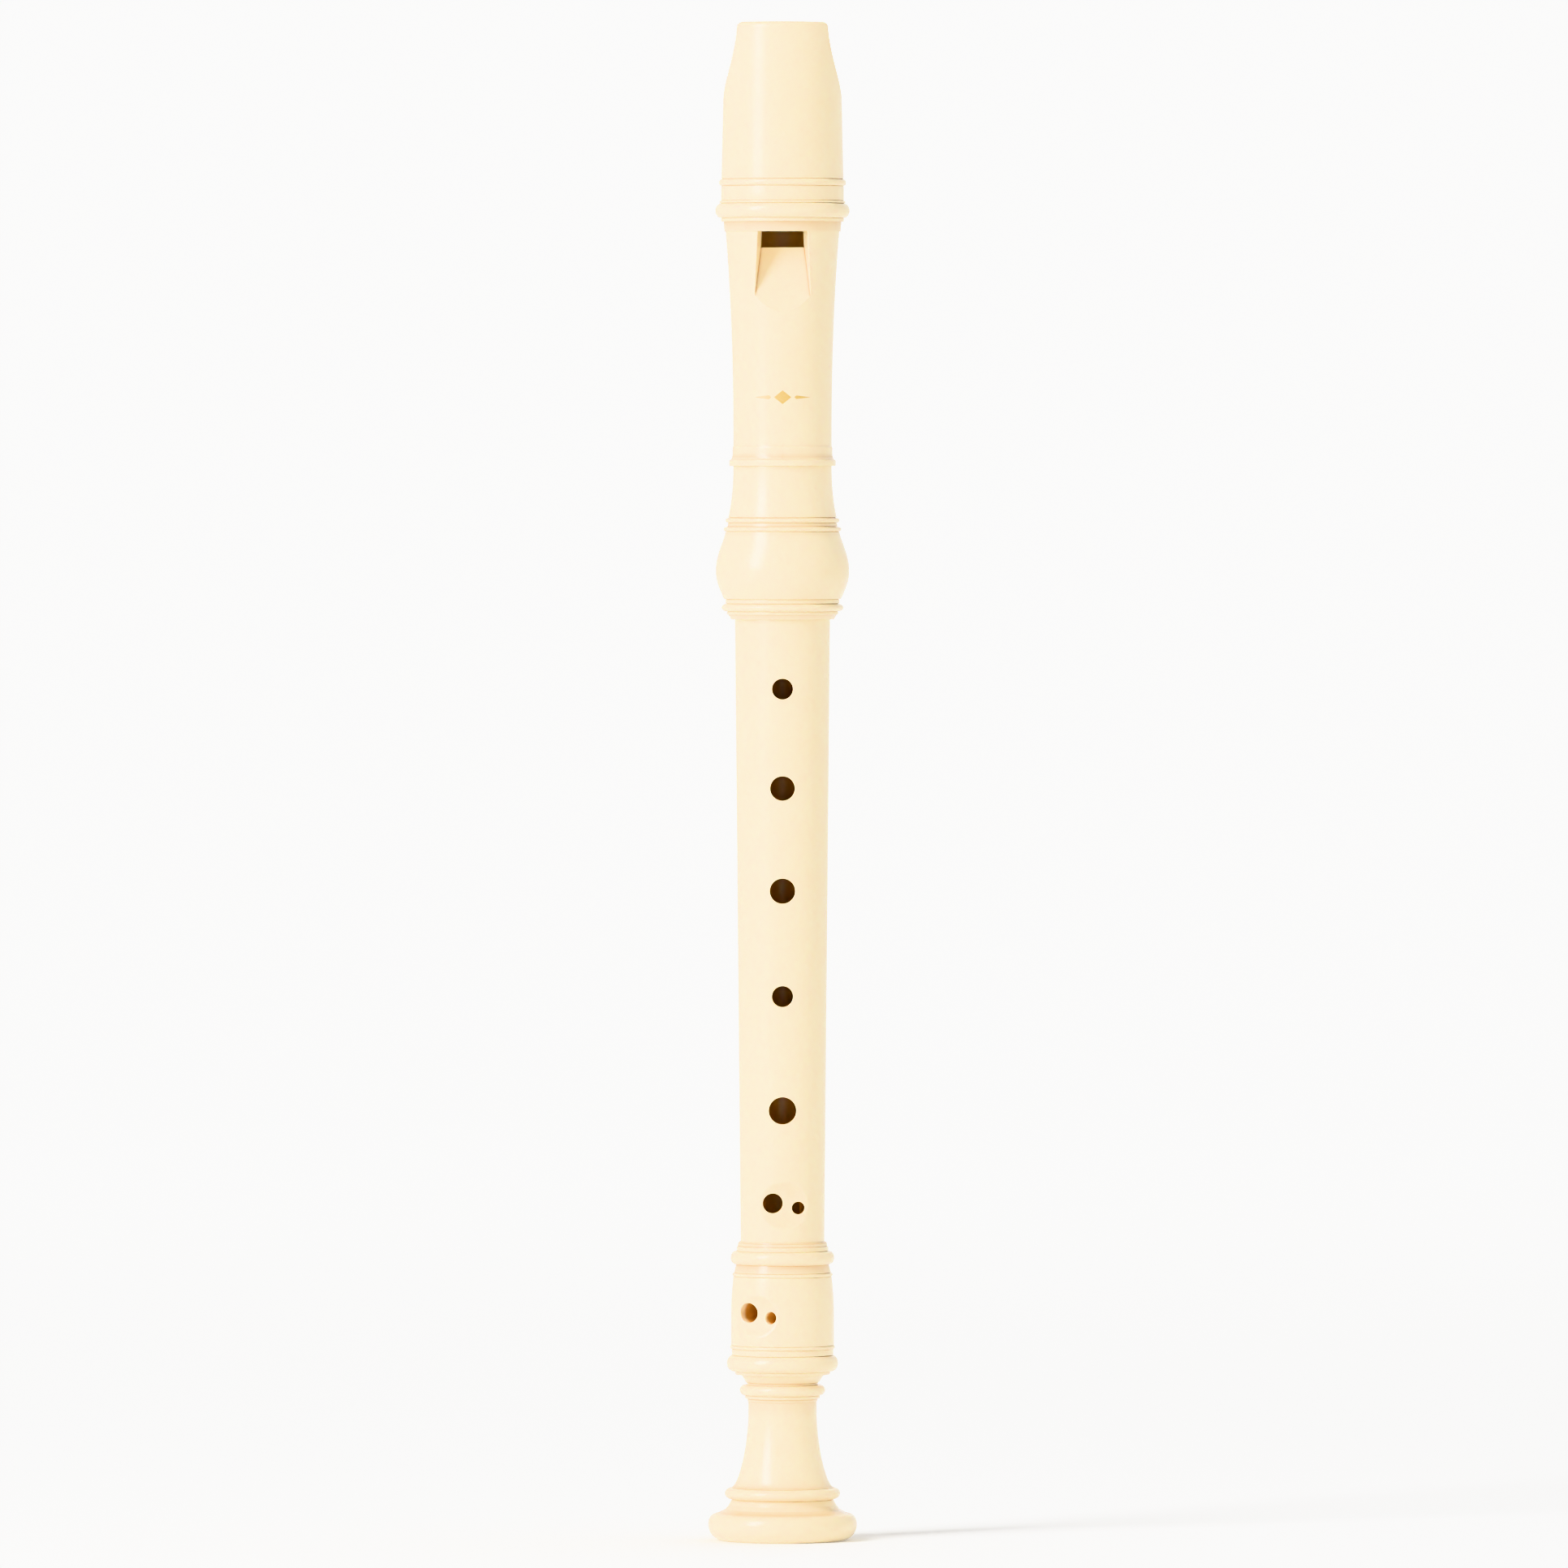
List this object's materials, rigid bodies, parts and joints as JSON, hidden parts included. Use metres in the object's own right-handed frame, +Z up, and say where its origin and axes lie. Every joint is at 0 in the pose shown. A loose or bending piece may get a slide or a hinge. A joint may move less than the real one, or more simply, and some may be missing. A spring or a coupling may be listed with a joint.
{
  "type": "soprano recorder",
  "caption": "Three-joint soprano recorder: beaked head with windway and lip, tapered middle with finger holes, foot with flared bell.",
  "frame": {"origin": "centre of the bell's end face, on the axis of the bore", "axes": "+Z up the bore from the bell to the beak, -Y the front with the window and finger holes, +X to the right seen from the front"},
  "size_m": [0.0318, 0.0318, 0.3259],
  "materials": {
    "ivory_shell": "polished moulded plastic, ivory",
    "block": "smooth moulded plastic, ivory",
    "seal": "matt, lightly greased"
  },
  "bodies": {
    "middle": {"middle_joint": "ivory_shell"},
    "head_seal": {"head_joint_seal": "seal"},
    "head": {"beak_cap": "ivory_shell", "windway_block": "block", "head_barrel": "ivory_shell", "bulb_sleeve": "ivory_shell"},
    "foot_seal": {"foot_joint_seal": "seal"},
    "foot": {"foot_socket": "ivory_shell", "bell": "ivory_shell"}
  },
  "joints": [
    {"name": "head_twist", "type": "hinge", "parent": "middle", "child": "head_seal", "pos_m": [0, 0, 0.204], "axis": [0, 0, 1], "continuous": true},
    {"name": "head_pull", "type": "slide", "parent": "head_seal", "child": "head", "axis": [0, 0, 1], "range_m": [0, 0.024]},
    {"name": "foot_twist", "type": "hinge", "parent": "middle", "child": "foot_seal", "pos_m": [0, 0, 0.06], "axis": [0, 0, 1], "continuous": true},
    {"name": "foot_pull", "type": "slide", "parent": "foot_seal", "child": "foot", "axis": [0, 0, -1], "range_m": [0, 0.014]}
  ]
}
